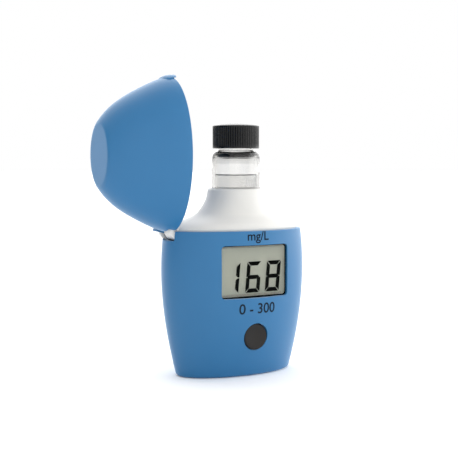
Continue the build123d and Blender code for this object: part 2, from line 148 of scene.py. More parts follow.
def clearMaterial(name, colour, ior, roughness, waveMm, waveDepth, tint="#FFFFFF", perMm=0.0,
                  **values):
    # A see-through material whose surface has a slow, faint waviness from how it was formed
    values = {"Transmission_Weight": 1.0, **values}
    material, tree, shader, coords = startMaterial(name, IOR=ior, Roughness=roughness, **values)
    shader.inputs["Base Color"].default_value = linear(colour)
    wave = addNode(tree, "ShaderNodeTexNoise", links={"Vector": coords},
                   Scale=perMetre(waveMm), Detail=1.0)
    bump = addNode(tree, "ShaderNodeBump", links={"Height": wave.outputs["Fac"]},
                   Strength=0.6, Distance=waveDepth * mm)
    tree.links.new(bump.outputs["Normal"], shader.inputs["Normal"])
    if perMm:                # what a millimetre of it takes from the light, so that edges darken
        haze = addNode(tree, "ShaderNodeVolumeAbsorption", Color=linear(tint), Density=perMm / mm)
        tree.links.new(haze.outputs["Volume"], tree.nodes["Material Output"].inputs["Volume"])
    return material


blueAbs = mouldedPlastic("blueAbsMoulded", "#1F6FA3", "#1B6B9F", 0.4, 0.35, 0.012,
                         Sheen_Weight=0.85, Sheen_Roughness=0.33, Sheen_Tint=linear("#BBD8F4"))
whiteAbs = mouldedPlastic("whiteAbsMoulded", "#E2E1DD", "#DEDDD9", 0.4, 0.35, 0.008,
                          Subsurface_Weight=0.4, Subsurface_Scale=3 * mm,
                          Subsurface_Radius=(1.0, 1.0, 1.0))
blackPp = mouldedPlastic("blackPolypropyleneMoulded", "#070808", "#0A0B0B", 0.27, 0.3, 0.008,
                         Specular_IOR_Level=0.28)
buttonRubber = mouldedPlastic("darkButtonMoulded", "#1A1613", "#141110", 0.3, 0.3, 0.01,
                              Specular_IOR_Level=0.3)
chassisBlack = mouldedPlastic("blackChassisMoulded", "#131415", "#17181A", 0.6, 0.4, 0.015)
linerWhite = mouldedPlastic("whiteLinerMoulded", "#EDECE6", "#E6E5DF", 0.5, 0.4, 0.01)
lcdGrey = mouldedPlastic("displayPolariserFilm", "#C8CBBB", "#C2C5B5", 0.5, 0.25, 0.004, 14.0)
segmentBlack = mouldedPlastic("displaySegmentInk", "#060707", "#090A09", 0.8, 0.3, 0.004,
                              Specular_IOR_Level=0.0)
printInk = mouldedPlastic("padPrintedInk", "#15212C", "#192631", 0.6, 0.25, 0.006,
                          Specular_IOR_Level=0.1)
zebraRubber = mouldedPlastic("siliconeConnectorStrip", "#C98F98", "#B97882", 0.6, 0.5, 0.02)
boardGreen = mouldedPlastic("greenSolderMask", "#16502C", "#1B5A33", 0.3, 0.6, 0.02)
chipEpoxy = mouldedPlastic("blackChipEpoxy", "#141414", "#191919", 0.55, 0.2, 0.01)
sensorResin = mouldedPlastic("darkSensorResin", "#18181D", "#1C1C22", 0.3, 0.4, 0.01)
cellSleeve = mouldedPlastic("batterySleeveFilm", "#26292E", "#2B2F35", 0.3, 0.5, 0.01)
pinSteel = steel("drawnSteelPin", "#B8B9BC", 0.3, 0.3)
platedSteel = steel("zincPlatedSteel", "#BDBDBA", 0.32, 0.4)
nickelSteel = steel("nickelPlatedSpringSteel", "#C6C2B6", 0.28, 0.4)
vialGlass = clearMaterial("drawnBorosilicateGlass", "#FFFFFF", 1.473, 0.0, 12.0, 0.01,
                          tint="#B4B2AC", perMm=0.23)
sampleWater = clearMaterial("clearWaterSample", "#FFFFFF", 1.333, 0.0, 20.0, 0.002,
                            tint="#B4B2AC", perMm=0.03)
windowAcrylic = clearMaterial("polishedAcrylicWindow", "#3A3D38", 1.49, 0.03, 15.0, 0.001,
                              Alpha=0.05, Transmission_Weight=0.0, Specular_IOR_Level=0.22)
filterGlass = clearMaterial("greenFilterGlass", "#5FB98A", 1.52, 0.02, 2.0, 0.002)
lampEpoxy = clearMaterial("castLampEpoxy", "#F2F6EC", 1.5, 0.1, 1.0, 0.003)
print("materials made:", len(bpy.data.materials))


# Surfaces
def gridFaces(rows, columns, closeRows, closeColumns):
    # Quads of a grid, wrapped along either way; row after row, column after column
    r = np.arange(rows if closeRows else rows - 1)[:, None]
    c = np.arange(columns if closeColumns else columns - 1)[None, :]
    r1, c1 = (r + 1) % rows, (c + 1) % columns
    quads = np.stack(np.broadcast_arrays(r * columns + c, r * columns + c1,
                                         r1 * columns + c1, r1 * columns + c), -1)
    return quads.reshape(-1, 4)


def makePiece(name, points, faces, material, smooth=True):
    # A mesh object from points in millimetres and faces, with merged poles and faces outwards
    mesh = bpy.data.meshes.new(name)
    faces = faces.tolist() if hasattr(faces, "tolist") else faces
    mesh.from_pydata((np.asarray(points, float) * mm).tolist(), [], faces)
    mesh.materials.append(material)
    mesh.validate()
    piece = bpy.data.objects.new(name, mesh)
    scene.collection.objects.link(piece)
    tidyMesh(mesh)
    if smooth:
        smoothByAngle(mesh)
    return piece


def tidyMesh(mesh, distance=0.002):
    # Merges doubles and turns all faces outwards
    work = bmesh.new()
    work.from_mesh(mesh)
    bmesh.ops.remove_doubles(work, verts=work.verts, dist=distance * mm)
    bmesh.ops.dissolve_degenerate(work, edges=work.edges, dist=distance * mm / 4)
    bmesh.ops.recalc_face_normals(work, faces=work.faces)
    work.to_mesh(mesh)
    work.free()


def smoothByAngle(mesh, degrees=35):
    # Smooth shading, with edges sharper than this left crisp
    mesh.shade_smooth()
    mesh.set_sharp_from_angle(angle=math.radians(degrees))


def roundedProfile(corners, steps=6):
    # A polyline with its corners rounded: each corner is (r, z, radius), and its round is a
    # quadratic curve between the points one radius away along its two sides.
    corners = np.array(corners, float)
    out = []
    count = len(corners)
    for i in range(count):
        here, radius = corners[i, :2], corners[i, 2]
        if radius == 0 or i in (0, count - 1):
            out.append(here[None])
            continue
        before, after = corners[i - 1, :2] - here, corners[i + 1, :2] - here
        a = here + before / np.linalg.norm(before) * min(radius, np.linalg.norm(before) * 0.49)
        b = here + after / np.linalg.norm(after) * min(radius, np.linalg.norm(after) * 0.49)
        t = np.linspace(0, 1, steps)[:, None]
        out.append((1 - t) ** 2 * a + 2 * t * (1 - t) * here + t ** 2 * b)
    return np.vstack(out)


def turnedPiece(name, corners, centreX, material, steps=160, radiusScale=None):
    # A surface of revolution: point (r, z) of the profile goes to (x + r cos a, r sin a, z)
    profile = roundedProfile(corners)
    a = np.arange(steps) / steps * tau
    r = profile[:, 0][:, None] * np.ones(steps)
    if radiusScale is not None:
        r = radiusScale(r, profile[:, 1][:, None], a[None, :])
    z = profile[:, 1][:, None] + 0 * r
    points = np.stack([centreX + r * np.cos(a), r * np.sin(a), z], -1).reshape(-1, 3)
    faces = gridFaces(len(profile), steps, False, True)
    return makePiece(name, points, faces, material)


# The finish of every CAD node; finer pieces further down replace eight of them
nodeFinish = dict(
    optics_chassis=chassisBlack, hinge_pin=pinSteel, lcd_frame=chassisBlack,
    zebra_connectors=zebraRubber, main_board=boardGreen, board_screws=platedSteel,
    microcontroller=chipEpoxy, button_switch=chipEpoxy, photodiode=sensorResin,
    optical_filter=filterGlass, led_lamp=lampEpoxy, led_board=boardGreen, battery=cellSleeve,
    battery_spring=nickelSteel, battery_contact=nickelSteel, battery_cover=blueAbs,
    battery_cover_screw=platedSteel, vial_stopper=linerWhite, front_shell=blueAbs,
    rear_shell=blueAbs, neck_housing=whiteAbs, lid=blueAbs, vial=vialGlass, vial_cap=blackPp,
    sample_liquid=sampleWater, display_window=windowAcrylic, lcd_panel=lcdGrey,
    power_button=buttonRubber,
)
for nodeName, material in nodeFinish.items():
    node = nodes[nodeName]
    node.data.materials.clear()
    node.data.materials.append(material)


def smoothThrough(xs, ys, x):
    # Natural cubic spline: second slopes at the knots solve the usual tridiagonal system
    xs, ys, x = (np.asarray(v, float) for v in (xs, ys, x))
    h = np.diff(xs)
    n = len(xs)
    matrix, right = np.eye(n), np.zeros(n)
    inner = np.arange(1, n - 1)
    matrix[inner, inner - 1] = h[:-1]
    matrix[inner, inner] = 2 * (h[:-1] + h[1:])
    matrix[inner, inner + 1] = h[1:]
    right[inner] = 6 * (np.diff(ys)[1:] / h[1:] - np.diff(ys)[:-1] / h[:-1])
    bend = np.linalg.solve(matrix, right)
    i = np.clip(np.searchsorted(xs, x) - 1, 0, n - 2)
    t, u = x - xs[i], xs[i + 1] - x
    return ((bend[i] * u ** 3 + bend[i + 1] * t ** 3) / (6 * h[i])
            + (ys[i] / h[i] - bend[i] * h[i] / 6) * u
            + (ys[i + 1] / h[i] - bend[i + 1] * h[i] / 6) * t)


def ovalPoints(halfWidth, halfDepth, z, steps, centreX=0.0):
    # Rings of ovals: (x0 + a cos u, b sin u, z), one ring for each entry of a, b and z
    u = np.arange(steps) / steps * tau
    a, b, z = (np.asarray(v, float)[:, None] for v in (halfWidth, halfDepth, z))
    x0 = np.asarray(centreX, float)
    x0 = x0[:, None] if x0.ndim else x0
    return np.stack([x0 + a * np.cos(u), b * np.sin(u), z + 0 * u], -1)


def edgeRound(distance, radius):
    # How far a quarter-round edge draws in, this far from the edge's plane
    short = np.clip(radius - distance, 0, radius)
    return radius - np.sqrt(radius ** 2 - short ** 2)


def prismPoints(outline, low, high, axis):
    # An outline of (p, q) points carried from low to high along an axis: for y, (x, z) points
    outline = np.asarray(outline, float)
    ends = []
    for level in (low, high):
        flat = np.full(len(outline), level)
        first, second = outline.T
        order = {"y": (first, flat, second), "z": (first, second, flat)}
        ends.append(np.stack(order[axis], -1))
    return np.vstack(ends)


def makePrism(name, outline, low, high, axis, material):
    # A flat-sided bar of this outline, from low to high along the axis
    count = len(outline)
    sides = gridFaces(2, count, False, True).tolist()
    caps = [list(range(count)), list(range(count, 2 * count))[::-1]]
    return makePiece(name, prismPoints(outline, low, high, axis), sides + caps, material, False)


def roundedRectangle(centreX, centreY, width, height, radius, steps=8):
    # Four quarter circles, joined by straight sides
    turn = np.linspace(0, tau / 4, steps)
    corners = []
    for k, (sx, sy) in enumerate([(1, 1), (-1, 1), (-1, -1), (1, -1)]):
        angle = turn + k * tau / 4
        x = centreX + sx * (width / 2 - radius) + radius * np.cos(angle)
        y = centreY + sy * (height / 2 - radius) + radius * np.sin(angle)
        corners.append(np.stack([x, y], -1))
    return np.vstack(corners)


def circleOutline(x, y, radius, steps=96):
    angle = np.arange(steps) / steps * tau
    return np.stack([x + radius * np.cos(angle), y + radius * np.sin(angle)], -1)


def stadiumOutline(x0, x1, radius, steps=24):
    right = np.linspace(-tau / 4, tau / 4, steps)
    left = right + tau / 2
    return np.vstack([np.stack([x1 + radius * np.cos(right), radius * np.sin(right)], -1),
                      np.stack([x0 + radius * np.cos(left), radius * np.sin(left)], -1)])


def settle(piece):
    # Writes the result of a piece's modifiers into its mesh
    graph = bpy.context.evaluated_depsgraph_get()
    mesh = bpy.data.meshes.new_from_object(piece.evaluated_get(graph))
    piece.modifiers.clear()
    piece.data = mesh
    return piece


def combine(piece, others, operation):
    # Cuts the others from the piece, joins them to it or keeps what they share, and removes them
    for other in others:
        step = piece.modifiers.new("cut", "BOOLEAN")
        step.operation = operation
        step.solver = "EXACT"
        step.object = other
        settle(piece)
        bpy.data.objects.remove(other)
    return piece


def copyPiece(piece, name):
    twin = bpy.data.objects.new(name, piece.data.copy())
    scene.collection.objects.link(twin)
    return twin


def softenEdges(piece, width, segments=2, degrees=38):
    # A small round on every crisp edge, as a mould leaves it
    step = piece.modifiers.new("edgeRound", "BEVEL")
    step.width = width * mm
    step.segments = segments
    step.limit_method = "ANGLE"
    step.angle_limit = math.radians(degrees)
    step.use_clamp_overlap = True
    step.harden_normals = False
    settle(piece)
    tidyMesh(piece.data, distance=0.0005)
    smoothByAngle(piece.data, degrees=42)


def trueNormals(piece, surfaceNormal, within=25):
    # Shades the main surface by its formula: each face corner near the surface's own direction
    # takes the direction that surfaceNormal gives for its point, and the rest keep theirs.
    mesh = piece.data
    corners = len(mesh.loops)
    vertexOf = np.zeros(corners, int)
    mesh.loops.foreach_get("vertex_index", vertexOf)
    places = np.zeros(len(mesh.vertices) * 3)
    mesh.vertices.foreach_get("co", places)
    normals = np.zeros(corners * 3)
    mesh.corner_normals.foreach_get("vector", normals)
    normals = normals.reshape(-1, 3)
    wanted, onSurface = surfaceNormal(places.reshape(-1, 3)[vertexOf] / mm)
    near = onSurface & ((wanted * normals).sum(1) > math.cos(math.radians(within)))
    normals[near] = wanted[near]
    mesh.normals_split_custom_set(normals.tolist())


def quarterRise(steps):
    # From 0 to 1 as the heights along a quarter round do: close together at first, then apart
    return 1 - np.cos(np.linspace(0, math.pi / 2, steps))


def quarterFall(steps):
    # From 1 down to 0, as the heights below a quarter round do: close together at the end
    return 1 - np.sin(np.linspace(0, math.pi / 2, steps))


def discRings(ring, z, rows):
    # Ovals that grow from the middle out to a ring, which close the end of a shell
    shares = np.linspace(0, 1, rows)
    steps = len(ring)
    return ovalPoints(ring[0, 0] * shares, np.abs(ring[steps // 4, 1]) * shares,
                      z + 0 * shares, steps)


# Body: the ovals' half width and half depth against height, as in the solids
body = dict(stations=[0, 1 / 3, 2 / 3, 1], halfWidth=[24.75, 28.6, 30.5, 29.4],
            halfDepth=[13.0, 17.6, 18.75, 18.5], wall=2.0, floor=2.0, baseRound=1.1,
            rimRound=0.3, seamY=-1.2, edge=0.16, steps=288)
rimZ = nodeBox("rear_shell")[1][2]

# Openings in the body, with the notch that the hinge needs; far and half run past the body
openings = dict(gap=0.15, windowRound=1.5, pocketRound=0.4, buttonGap=0.2, flangeGap=0.3,
                flangeDepth=0.7, backY=-6, notchX=-46, notchY=0.85, notchWidth=11.3,
                notchRound=0.5, notchDrop=3.7, notchRise=9, far=40, half=60, underZ=-5, overZ=90)


def bodyHalfWidth(z):
    return np.polyval(np.polyfit(np.array(body["stations"]) * rimZ, body["halfWidth"], 3), z)


def bodyHalfDepth(z):
    return np.polyval(np.polyfit(np.array(body["stations"]) * rimZ, body["halfDepth"], 3), z)


def bodyFrontY(x, z):
    # The front of the body over a point: y = -b sqrt(1 - (x / a)^2)
    return -bodyHalfDepth(z) * np.sqrt(1 - (x / bodyHalfWidth(z)) ** 2)


def ovalNormal(points, halfWidth, halfDepth, nearness=0.004):
    # Gradient of (x / a(z))^2 + (y / b(z))^2, and which points lie on that oval
    x, y, z = points.T
    a, b = halfWidth(z), halfDepth(z)
    step = 0.01
    slopeA = (halfWidth(z + step) - halfWidth(z - step)) / (2 * step)
    slopeB = (halfDepth(z + step) - halfDepth(z - step)) / (2 * step)
    level = (x / a) ** 2 + (y / b) ** 2
    upward = -(x ** 2 * slopeA / a ** 3 + y ** 2 * slopeB / b ** 3)
    normal = np.stack([x / a ** 2, y / b ** 2, upward], -1)
    normal /= np.linalg.norm(normal, axis=1)[:, None] + 1e-12
    return normal, np.abs(np.sqrt(level) - 1) < nearness


def makeBodyShells():
    s, o = body, openings
    outerZ = np.concatenate([quarterRise(8) * s["baseRound"],
                             np.linspace(s["baseRound"], rimZ - s["rimRound"], 84)[1:],
                             rimZ - s["rimRound"] * quarterFall(5)[1:]])
    inset = edgeRound(outerZ, s["baseRound"]) + edgeRound(rimZ - outerZ, s["rimRound"])
    outer = ovalPoints(bodyHalfWidth(outerZ) - inset, bodyHalfDepth(outerZ) - inset, outerZ,
                       s["steps"])
    innerZ = np.linspace(rimZ, s["floor"], 40)
    inner = ovalPoints(bodyHalfWidth(innerZ) - s["wall"], bodyHalfDepth(innerZ) - s["wall"],
                       innerZ, s["steps"])
    rings = np.concatenate([discRings(outer[0], 0, 7)[:-1], outer, inner,
                            discRings(inner[-1], s["floor"], 7)[::-1][1:]])
    faces = gridFaces(len(rings), s["steps"], False, True)
    whole = makePiece("bodyShell", rings.reshape(-1, 3), faces, blueAbs)

    gap = o["gap"]
    low, high = nodeBox("display_window")
    midZ = (low[2] + high[2]) / 2
    window = roundedRectangle(0, midZ, high[0] - low[0] + 2 * gap, high[2] - low[2] + 2 * gap,
                              o["windowRound"])
    frameLow, frameHigh = nodeBox("lcd_frame")
    pocket = roundedRectangle(0, midZ, frameHigh[0] - frameLow[0] + 2 * gap,
                              frameHigh[2] - frameLow[2] + 2 * gap, o["pocketRound"])
    buttonLow, buttonHigh = nodeBox("power_button")
    buttonZ = (buttonLow[2] + buttonHigh[2]) / 2
    hole = circleOutline(0, buttonZ, button["radius"] + o["buttonGap"])
    room = circleOutline(0, buttonZ, (buttonHigh[2] - buttonLow[2]) / 2 + o["flangeGap"])
    notch = roundedRectangle(o["notchX"], o["notchY"], o["far"], o["notchWidth"], o["notchRound"])
    coverLow, coverHigh = nodeBox("battery_cover")
    radius = (coverHigh[1] - coverLow[1]) / 2
    cover = stadiumOutline(coverLow[0] + radius, coverHigh[0] - radius, radius + gap)
    cuts = [("windowCut", window, -o["far"], 0, "y"),
            ("pocketCut", pocket, frameLow[1] - gap, o["backY"], "y"),
            ("buttonCut", hole, -o["far"], o["backY"], "y"),
            ("flangeCut", room, buttonHigh[1] - o["flangeDepth"], o["backY"], "y"),
            ("notchCut", notch, rimZ - o["notchDrop"], rimZ + o["notchRise"], "z"),
            ("coverCut", cover, o["underZ"], coverHigh[2], "z")]
    combine(whole, [makePrism(*cut, blueAbs) for cut in cuts], "DIFFERENCE")

    far, seam = o["half"], s["seamY"]
    front = [[-far, -far], [far, -far], [far, seam], [-far, seam]]
    back = [[-far, seam], [far, seam], [far, far], [-far, far]]
    rear = copyPiece(whole, "rearShell")
    for shell, half in ((whole, front), (rear, back)):
        kept = makePrism("keptHalf", half, o["underZ"], o["overZ"], "z", blueAbs)
        combine(shell, [kept], "INTERSECT")
    whole.name = "frontShell"
    for shell, node in ((whole, "front_shell"), (rear, "rear_shell")):
        softenEdges(shell, s["edge"])
        trueNormals(shell, lambda p: ovalNormal(p, bodyHalfWidth, bodyHalfDepth))
        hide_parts(node)
        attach(shell, "housing")
    print("body shells made:", len(whole.data.polygons), len(rear.data.polygons))


# Button: a dished face with a soft edge, on a flange
button = dict(radius=5.1, edge=0.7, dish=0.3, flange=0.6, steps=96)


def makeButton():
    s = button
    (_, face, bottom), (_, back, top) = nodeBox("power_button")
    z, wide = (bottom + top) / 2, (top - bottom) / 2
    r, inner = s["radius"], back - s["flange"]
    profile = roundedProfile([(0, face + s["dish"], 0), (r * 0.6, face + s["dish"] * 0.5, 0),
                              (r, face, s["edge"]), (r, inner, 0), (wide, inner, 0.15),
                              (wide, back, 0.1), (0, back, 0)], 8)
    a = np.arange(s["steps"]) / s["steps"] * tau
    ring = profile[:, 0][:, None]
    points = np.stack([ring * np.cos(a), profile[:, 1][:, None] + 0 * a, z + ring * np.sin(a)], -1)
    faces = gridFaces(len(profile), s["steps"], False, True)
    piece = makePiece("pushButton", points.reshape(-1, 3), faces, buttonRubber)
    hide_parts("power_button")
    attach(piece, "power_button")


# Hinge: the lid's arm turns on a pin between two lugs of the neck
hinge = dict(x=-28.3, rise=0.5, arm=1.7, armY=(1.45, 4.65), pinHole=0.9, pinHoleY=(1.0, 5.2),
             lugs=((-4.65, 1.15), (4.95, 6.35)), lugX=2.3, lugTop=1.0, lugRadius=4.2,
             lugChamfer=0.3, lugGap=0.3, armRoom=2.0, pinRoom=0.77, pinReach=20,
             roomX=-45.7, roomY=0.85, roomLength=40, roomWidth=11.6, roomRound=0.3, roomFrom=30)
hingeZ = rimZ + hinge["rise"]

# Lid, worked out closed and then swung open about the hinge
lid = dict(stations=[0, 0.25, 0.5, 0.75, 1], narrowing=[0, 0.115, 0.315, 0.565, 1], wall=1.3,
           topHalfWidth=12.0, topHalfDepth=8.4, crease=0.9, innerCrease=1.2, rimGap=0.25,
           height=29.5, rimRound=0.35, edge=0.15, steps=256,
           tabOver=1.0, tabLength=4.6, tabWidth=8.6, tabProud=0.75, tabRoot=-0.5, tabFace=0.38,
           tabMiddle=1.2, tabRows=41)
lidBase = rimZ + lid["rimGap"]
lidTop = rimZ + lid["height"]


def lidShare(z):
    up = (np.asarray(z, float) - lidBase) / (lidTop - lidBase)
    return np.polyval(np.polyfit(lid["stations"], lid["narrowing"], 4), up)


def lidHalfWidth(z):
    return body["halfWidth"][-1] - lidShare(z) * (body["halfWidth"][-1] - lid["topHalfWidth"])


def lidHalfDepth(z):
    return body["halfDepth"][-1] - lidShare(z) * (body["halfDepth"][-1] - lid["topHalfDepth"])


def swingOpen(points):
    # A quarter turn about the hinge: height over the hinge becomes distance behind it
    x, y, z = np.asarray(points, float).T
    return np.stack([hinge["x"] - (z - hingeZ), y, hingeZ + (x - hinge["x"])], -1)


def swingPiece(piece):
    mesh = piece.data
    places = np.zeros(len(mesh.vertices) * 3)
    mesh.vertices.foreach_get("co", places)
    places = swingOpen(places.reshape(-1, 3) / mm) * mm
    mesh.vertices.foreach_set("co", places.ravel())
    mesh.update()


def makeThumbTab():
    # A tab wrapped on the lid's end: its cross profile of (outward, height) points is carried
    # along the oval, x = a sqrt(1 - (y / b)^2), and thins to its two ends as 1 - 0.9 (y / w)^4.
    s = lid
    low, high = rimZ - s["tabOver"], rimZ + s["tabLength"]
    out, root, face = s["tabProud"], s["tabRoot"], s["tabFace"]
    profile = roundedProfile([(root, lidBase + 0.4, 0), (root, lidBase, 0),
                              (face, lidBase - 0.1, 0.1), (face, low, 0.2),
                              (out + 0.2, low, 0.35), (out + 0.1, low + 1.3, 0.5),
                              (out, high - 1.4, 1.4), (root + 0.1, high, 0.3),
                              (root, high - 0.6, 0)], 6)
    y = np.linspace(-1, 1, s["tabRows"])[:, None] * s["tabWidth"] / 2
    thin = 1 - np.abs(2 * y / s["tabWidth"]) ** 4 * 0.9
    away, z = profile[:, 0][None, :], profile[:, 1][None, :]
    middle = rimZ + s["tabMiddle"]
    z = middle + (z - middle) * (0.55 + 0.45 * thin)
    away = np.where(away > face, face + (away - face) * thin, away)
    height = np.maximum(z, lidBase)
    a, b = lidHalfWidth(height), lidHalfDepth(height)
    x = a * np.sqrt(1 - (y / b) ** 2)
    normalX, normalY = x / a ** 2, y / b ** 2
    size = np.hypot(normalX, normalY)
    points = np.stack([x + away * normalX / size, y + away * normalY / size, z], -1)
    count, rows = len(profile), s["tabRows"]
    faces = gridFaces(rows, count, False, True).tolist()
    faces += [list(range(count)), list(range((rows - 1) * count, rows * count))]
    return makePiece("thumbTab", points.reshape(-1, 3), faces, blueAbs)


def makeLid():
    s = lid
    outerZ = np.concatenate([lidBase + s["rimRound"] * quarterRise(5),
                             np.linspace(lidBase + s["rimRound"], lidTop - s["crease"], 80)[1:],
                             lidTop - s["crease"] * quarterFall(8)[1:]])
    inset = edgeRound(outerZ - lidBase, s["rimRound"]) + edgeRound(lidTop - outerZ, s["crease"])
    outer = ovalPoints(lidHalfWidth(outerZ) - inset, lidHalfDepth(outerZ) - inset, outerZ,
                       s["steps"])
    innerTop = lidTop - s["wall"]
    innerZ = np.linspace(lidBase, innerTop, 50)
    inset = s["wall"] + edgeRound(innerTop - innerZ, s["innerCrease"])
    inner = ovalPoints(lidHalfWidth(innerZ) - inset, lidHalfDepth(innerZ) - inset, innerZ,
                       s["steps"])
    rings = np.concatenate([discRings(outer[-1], lidTop, 9)[:-1], outer[::-1], inner,
                            discRings(inner[-1], innerTop, 9)[::-1][1:]])
    faces = gridFaces(len(rings), s["steps"], False, True)
    piece = makePiece("lidShell", rings.reshape(-1, 3), faces, blueAbs)

    h = hinge
    roomTop = hingeZ + math.hypot(h["lugX"], h["lugTop"]) + h["lugGap"]
    room = roundedRectangle(h["roomX"], h["roomY"], h["roomLength"], h["roomWidth"], h["roomRound"])
    combine(piece, [makePrism("lugCut", room, h["roomFrom"], roomTop, "z", blueAbs)], "DIFFERENCE")
    tabPiece = makeThumbTab()
    armOutline = circleOutline(h["x"], hingeZ, h["arm"], 64)
    arm = makePrism("hingeArm", armOutline, *h["armY"], "y", blueAbs)
    webTop = roomTop + 2
    webOutline = [[-30.0, hingeZ], [-27.6, hingeZ], [-27.2, webTop - 1], [-28.3, webTop],
                  [-28.9, webTop]]
    web = makePrism("hingeWeb", webOutline, *h["armY"], "y", blueAbs)
    combine(piece, [tabPiece, arm, web], "UNION")
    pinHole = circleOutline(h["x"], hingeZ, h["pinHole"], 48)
    combine(piece, [makePrism("pinCut", pinHole, *h["pinHoleY"], "y", blueAbs)], "DIFFERENCE")
    softenEdges(piece, s["edge"])
    trueNormals(piece, lambda p: ovalNormal(p, lidHalfWidth, lidHalfDepth), within=20)
    normals = np.zeros(len(piece.data.loops) * 3)
    piece.data.corner_normals.foreach_get("vector", normals)
    swingPiece(piece)
    x, y, z = normals.reshape(-1, 3).T
    piece.data.normals_split_custom_set(np.stack([-z, y, x], -1).tolist())
    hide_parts("lid")
    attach(piece, "lid")
    print("lid made:", len(piece.data.polygons))


# Neck: a thin flange on the rim, a hollow flare and a round mouth off to one side. Up, wide and
# deep shape the flare; under and skirt are rings of the hollow side, with z from the rim.
neck = dict(ledge=1.55, flangeHeight=1.1, radius=11.2, height=16.0, wellX=1.2, mouthRound=1.1,
            bore=9.8, boreFlare=0.4, boreLead=0.5, boreEnd=4.0, edge=0.12, steps=224,
            up=[0.0, 0.11, 0.24, 0.40, 0.62, 0.82, 1.0],
            wide=[0.98, 0.80, 0.46, 0.24, 0.09, 0.02, 0.0],
            deep=[0.96, 0.76, 0.36, 0.17, 0.08, 0.02, 0.0],
            flangeUp=[0, 0, 0.2, 0.8, 1.0], flangeIn=[0.4, 0.12, 0.0, 0.0, 0.12],
            under=dict(a=[11.8, 22.0, 25.0, 25.4], b=[11.3, 13.0, 14.4, 14.6],
                       z=[4.0, 1.5, 0, -3.5], x=[1.2, 0, 0, 0]),
            skirt=dict(a=[27.1, 27.2, 27.2], b=[16.2, 16.3, 16.3], z=[-3.5, -3.2, 0], x=[0, 0, 0]))


def makeNeck():
    s = neck
    steps = s["steps"]
    flangeA, flangeB = body["halfWidth"][-1] - s["ledge"], body["halfDepth"][-1] - s["ledge"]
    start, mouth = rimZ + s["flangeHeight"], rimZ + s["height"]
    rise = s["height"] - s["flangeHeight"]
    z = start + rise * np.linspace(0, 1, 70)
    z = np.concatenate([z[:-1][z[:-1] < mouth - s["mouthRound"]],
                        mouth - s["mouthRound"] * quarterFall(9)])
    up = (z - start) / rise
    wide, deep = smoothThrough(s["up"], s["wide"], up), smoothThrough(s["up"], s["deep"], up)
    tuck = edgeRound(mouth - z, s["mouthRound"])
    a = s["radius"] + wide * (flangeA - s["radius"]) - tuck
    b = s["radius"] + deep * (flangeB - s["radius"]) - tuck
    flare = ovalPoints(a, b, z, steps, s["wellX"] * (1 - wide))
    edgeZ, edgeIn = np.array(s["flangeUp"]) * s["flangeHeight"] + rimZ, np.array(s["flangeIn"])
    flange = ovalPoints(flangeA - edgeIn, flangeB - edgeIn, edgeZ, steps)
    boreZ = np.array([mouth, mouth - s["boreLead"], rimZ + s["boreEnd"]])
    boreR = np.array([s["bore"] + s["boreFlare"], s["bore"], s["bore"]])
    bore = ovalPoints(boreR, boreR, boreZ, steps, s["wellX"])
    under, skirt = [ovalPoints(r["a"], r["b"], rimZ + np.array(r["z"]), steps, np.array(r["x"]))
                    for r in (s["under"], s["skirt"])]
    rings = np.concatenate([flange, flare, bore, under, skirt])
    faces = gridFaces(len(rings), steps, True, True)
    piece = makePiece("neckMoulding", rings.reshape(-1, 3), faces, whiteAbs)

    h = hinge
    x, top, r, c = h["x"] + h["lugX"], hingeZ + h["lugTop"], h["lugRadius"], h["lugChamfer"]
    angle = np.linspace(math.pi, 1.5 * math.pi, 20)
    lugOutline = np.vstack([np.stack([x + r * np.cos(angle), hingeZ + r * np.sin(angle)], -1),
                            [[x, top], [x - r + c, top], [x - r, top - c]]])
    lugs = [makePrism("hingeLug", lugOutline, *sides, "y", whiteAbs) for sides in h["lugs"]]
    combine(piece, lugs, "UNION")
    armRoom = makePrism("armCut", circleOutline(h["x"], hingeZ, h["armRoom"], 48),
                        h["lugs"][0][1], h["lugs"][1][0], "y", whiteAbs)
    pinRoom = makePrism("pinRoom", circleOutline(h["x"], hingeZ, h["pinRoom"], 48),
                        -h["pinReach"], h["pinReach"], "y", whiteAbs)
    combine(piece, [armRoom, pinRoom], "DIFFERENCE")
    softenEdges(piece, s["edge"], degrees=45)
    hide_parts("neck_housing")
    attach(piece, "housing")
    print("neck made:", len(piece.data.polygons))


# Vial, sample and cap: turned profiles of (radius, height, round) corners
vial = dict(x=1.2, radius=9.5, wall=1.2, finish=7.0, finishHeight=8.2, bore=5.6, steps=192)
sample = dict(gap=0.03, climb=0.5, steps=160)
cap = dict(radius=9.15, bore=7.3, boreDepth=8.5, ribs=60, ribDepth=0.28, ribStart=0.25, ribEnd=1.0,
           dome=0.85, fadeIn=0.3, fadeOut=0.2, stepsPerRib=8)


def makeVial():
    low, high = nodeBox("vial")
    b, top = low[2], high[2]
    shoulder = top - vial["finishHeight"]
    r, w, finish, bore = vial["radius"], vial["wall"], vial["finish"], vial["bore"]
    outside = [(0, b + 0.6, 0), (4.0, b + 0.45, 1), (r - 1.2, b, 0.8), (r, b + 0.1, 1.4),
               (r, shoulder - 2.0, 1.7), (r - 0.9, shoulder - 0.35, 1.0),
               (finish, shoulder - 0.1, 0.5), (finish, top, 0.35)]
    inside = [(bore, top, 0.35), (bore, shoulder - 1.2, 0.8), (r - w - 0.4, shoulder - 2.2, 1.2),
              (r - w, shoulder - 4.0, 1.0), (r - w, b + w, 1.6), (0, b + w + 0.5, 0)]
    piece = turnedPiece("sampleVial", outside + inside, vial["x"], vialGlass, vial["steps"])
    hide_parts("vial")
    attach(piece, "vial")


